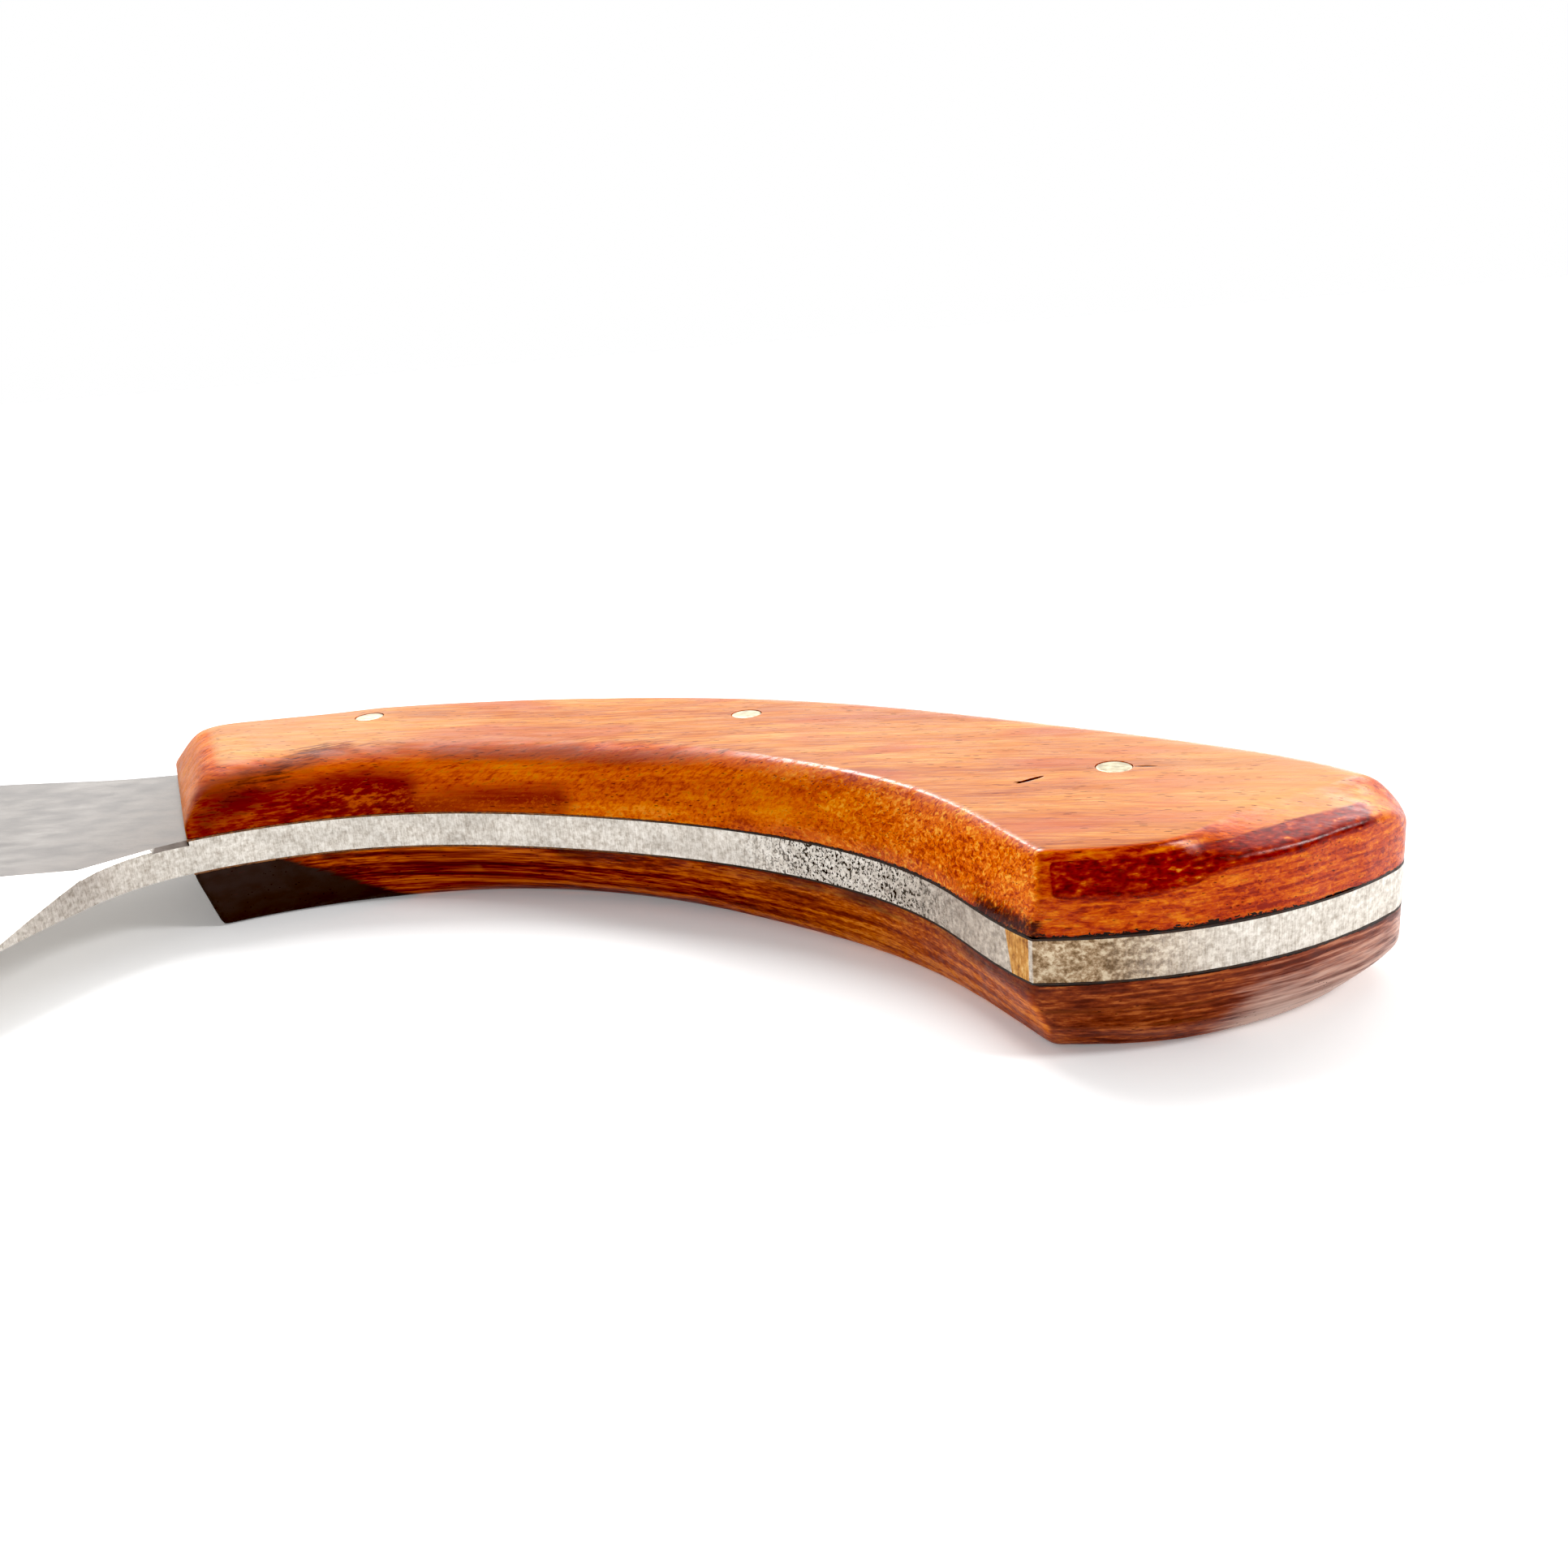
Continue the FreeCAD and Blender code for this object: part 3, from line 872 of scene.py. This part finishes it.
def add_lower_scale():
    """The lower scale and its painted shares."""
    obj = wooden_scale("lower_scale_wood", "lower_scale", LOWER_SEAT, LOWER_CREST)
    points = points_of(obj)
    normals = normals_of(obj)
    x, _, z = points.T
    butt = butt_share(points, normals)
    deep = (1 - ease(x + 38 + 2.0 * z, -2.0, 2.5)) * (1 - ease(normals[:, 1], -0.3, 0.5))
    deep = 1.2 * np.maximum(deep, strokes(points, [
        ((-44, -4, 0.2), (-30, -5, 0.0), 2.2, 0.8),
        ((-46, -4, 6.2), (-34, -5, 6.3), 1.4, 0.7),
    ]))
    tan = strokes(points, [((-41, -4.5, 3.6), (-30, -5.5, 3.8), 1.5, 0.75)])
    mauve = strokes(points, [
        ((-20, -8, 6.2), (8, -24, 6.2), 1.6, 0.6),
        ((8, -24, 6.2), (21, -47, 6.0), 2.0, 0.7),
        ((21, -47, 6.2), (38, -43, 6.2), 1.6, 0.8),
    ])
    paint(obj, "deep", deep)
    paint(obj, "tan", tan)
    paint(obj, "mauve", mauve)
    paint(obj, "warm", ease(x, -6, 10) * (1 - butt))
    paint(obj, "butt", butt)
    # a pale sheen painted under the butt, standing in for a reflection
    paint(obj, "sheen_patches", strokes(points, [((40, -44, 0.5), (54, -34, 3.0), 7.5, 1.0)]))
    paint(obj, "seam", 0.04 + 0.10 * butt)
    dress(obj, lower_wood())
    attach(obj, "root")
    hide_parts("lower_scale")


def wedge(first, second):
    """A cutter along the rim of the steel, from one place, width and drop to another."""
    points = []
    (x1, y1), (x2, y2) = first[0], second[0]
    length = math.hypot(x2 - x1, y2 - y1)
    out = np.array([(y2 - y1) / length, (x1 - x2) / length])
    for place, width, drop in (first, second):
        place = np.array(place)
        inner, outer = place - out * width, place + out
        points.append((*inner, TANG_TOP))
        points.append((*outer, TANG_TOP - drop * (1 + 1 / width)))
        points.append((*outer, TANG_TOP + 1))
        points.append((*inner, TANG_TOP + 1))
    mesh = bpy.data.meshes.new("wedge")
    faces = [(0, 1, 2, 3), (7, 6, 5, 4), (0, 4, 5, 1), (1, 5, 6, 2), (2, 6, 7, 3), (3, 7, 4, 0)]
    mesh.from_pydata([tuple(value * MM for value in point) for point in points], [], faces)
    work = bmesh.new()
    work.from_mesh(mesh)
    bmesh.ops.recalc_face_normals(work, faces=work.faces)
    work.to_mesh(mesh)
    work.free()
    return add_object("wedge", mesh)


def crisp_flats(obj):
    """Smooth round the rim, but a crisp edge wherever a flat or a bevel ends."""
    work = bmesh.new()
    work.from_mesh(obj.data)
    for face in work.faces:
        face.smooth = True
    for edge in work.edges:
        if len(edge.link_faces) == 2:
            first, second = (face.normal for face in edge.link_faces)
            level = max(abs(first.z), abs(second.z)) > 0.9
            edge.smooth = first.angle(second, 0.0) < math.radians(3 if level else 30)
    work.to_mesh(obj.data)
    work.free()


def add_steel():
    """The blade and tang, with the ground end of the bevel and the nick before the handle."""
    obj = copy_of("blade_steel", "blade")
    combine(obj, wedge(BEVEL_START, BEVEL_STOP), "DIFFERENCE")
    combine(obj, wedge(NICK_START, NICK_STOP), "DIFFERENCE")
    crisp_flats(obj)
    dress(obj, steel())
    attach(obj, "root")
    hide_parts("blade")


def add_pin(node, metal):
    """A pin with its ends sanded flush and slightly rounded at the rim."""
    low, high = node_box(node)
    ends = [(PIN_RADIUS * share, low[2] + drop) for share, drop in PIN_END]
    ends += [(PIN_RADIUS * share, high[2] - drop) for share, drop in reversed(PIN_END)]
    rings = ends[1:-1]
    sides = range(ROUND_SIDES)
    points, faces = [], []
    for reach, level in rings:
        for side in sides:
            angle = math.tau * side / ROUND_SIDES
            x = reach * math.cos(angle) + PINS[node][0]
            y = reach * math.sin(angle) + PINS[node][1]
            points.append((x * MM, y * MM, level * MM))
    for ring in range(len(rings) - 1):
        lower, upper = ring * ROUND_SIDES, (ring + 1) * ROUND_SIDES
        for side in sides:
            after = (side + 1) % ROUND_SIDES
            faces.append([lower + side, lower + after, upper + after, upper + side])
    last = (len(rings) - 1) * ROUND_SIDES
    faces.append(list(sides)[::-1])
    faces.append([last + side for side in sides])
    mesh = bpy.data.meshes.new(node + "_metal")
    mesh.from_pydata(points, [], faces)
    obj = add_object(node + "_metal", mesh)
    mesh.shade_smooth()
    dress(obj, metal)
    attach(obj, "root")
    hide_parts(node)


add_upper_scale()
add_lower_scale()
add_steel()
flush_metal = pin_metal()
for pin in PINS:
    add_pin(pin, flush_metal)
dark_glue = glue()
for node, material in (
    ("corner_inlay", inlay_metal()),
    ("upper_glue_line", dark_glue),
    ("lower_glue_line", dark_glue),
):
    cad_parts[node].data.materials.clear()
    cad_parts[node].data.materials.append(material)


# --- surroundings ---
def add_floor():
    """A plain pale floor just below the part."""
    mesh = bpy.data.meshes.new("floor")
    half = FLOOR_HALF
    corners = [(-half, -half, 0), (half, -half, 0), (half, half, 0), (-half, half, 0)]
    mesh.from_pydata(corners, [], [(0, 1, 2, 3)])
    floor = add_object("floor", mesh)
    floor.location.z = -FLOOR_DROP
    f = Finish("floor")
    f.set(Base_Color=(FLOOR_TONE, FLOOR_TONE, FLOOR_TONE, 1), Roughness=0.8)
    f.set(Emission_Color=(1, 1, 1, 1), Emission_Strength=FLOOR_GLOW)
    mesh.materials.append(f.material)


def area_light(name, place, target, size, power):
    """A square lamp that points at a target."""
    data = bpy.data.lights.new(name, "AREA")
    data.shape = "SQUARE"
    data.size = size
    data.energy = power
    lamp = bpy.data.objects.new(name, data)
    bpy.context.scene.collection.objects.link(lamp)
    lamp.location = place
    lamp.rotation_euler = (Vector(target) - Vector(place)).to_track_quat("-Z", "Y").to_euler()


def add_lights():
    """A pale room that is bright behind and above, and dim in front."""
    world = bpy.data.worlds.new("world")
    bpy.context.scene.world = world
    world.use_nodes = True
    tree = world.node_tree
    tree.nodes.clear()
    link = tree.links.new
    direction = tree.nodes.new("ShaderNodeTexCoord").outputs["Generated"]
    split = tree.nodes.new("ShaderNodeSeparateXYZ")
    link(direction, split.inputs[0])
    front = tree.nodes.new("ShaderNodeMapRange")
    front.interpolation_type = "SMOOTHSTEP"
    front.inputs["From Min"].default_value = -0.2
    front.inputs["From Max"].default_value = 0.7
    front.inputs["To Min"].default_value = ROOM_FRONT
    front.inputs["To Max"].default_value = ROOM_BACK
    link(split.outputs["Y"], front.inputs["Value"])
    room = tree.nodes.new("ShaderNodeBackground")
    link(front.outputs[0], room.inputs["Strength"])
    backdrop = tree.nodes.new("ShaderNodeBackground")
    backdrop.inputs["Strength"].default_value = 1.0
    choose = tree.nodes.new("ShaderNodeMixShader")
    link(tree.nodes.new("ShaderNodeLightPath").outputs["Is Camera Ray"], choose.inputs[0])
    link(room.outputs[0], choose.inputs[1])
    link(backdrop.outputs[0], choose.inputs[2])
    for background in (room, backdrop):
        background.inputs["Color"].default_value = (1, 1, 1, 1)
    output = tree.nodes.new("ShaderNodeOutputWorld")
    link(choose.outputs[0], output.inputs["Surface"])
    data = bpy.data.lights.new("key", "SUN")
    data.energy = KEY_STRENGTH
    data.angle = math.radians(KEY_ANGLE)
    key = bpy.data.objects.new("key", data)
    bpy.context.scene.collection.objects.link(key)
    key.rotation_euler = Vector(KEY_FROM).to_track_quat("Z", "Y").to_euler()
    area_light("side", SIDE_PLACE, SIDE_TARGET, SIDE_SIZE, SIDE_POWER)
    area_light("right", RIGHT_PLACE, RIGHT_TARGET, RIGHT_SIZE, RIGHT_POWER)


def add_camera():
    """The camera at the main view."""
    pitch, roll = math.radians(CAMERA_PITCH), math.radians(CAMERA_ROLL)
    right = Vector((1, 0, 0))
    ahead = Vector((0, math.cos(pitch), -math.sin(pitch)))
    down = Vector((0, -math.sin(pitch), -math.cos(pitch)))
    across = right * math.cos(roll) + down * math.sin(roll)
    below = down * math.cos(roll) - right * math.sin(roll)
    data = bpy.data.cameras.new("camera")
    data.sensor_width = CAMERA_SENSOR
    data.lens = CAMERA_LENS
    data.clip_start = CAMERA_CLIP
    camera = bpy.data.objects.new("camera", data)
    bpy.context.scene.collection.objects.link(camera)
    turn = Matrix((across, -below, -ahead)).transposed().to_4x4()
    camera.matrix_world = Matrix.Translation(Vector(CAMERA_PLACE) * MM) @ turn
    bpy.context.scene.camera = camera


add_floor()
add_lights()
add_camera()
view = bpy.context.scene.view_settings
view.view_transform = "Standard"
view.use_curve_mapping = True
view.curve_mapping.black_level = (BLACK_LEVEL, BLACK_LEVEL, BLACK_LEVEL)
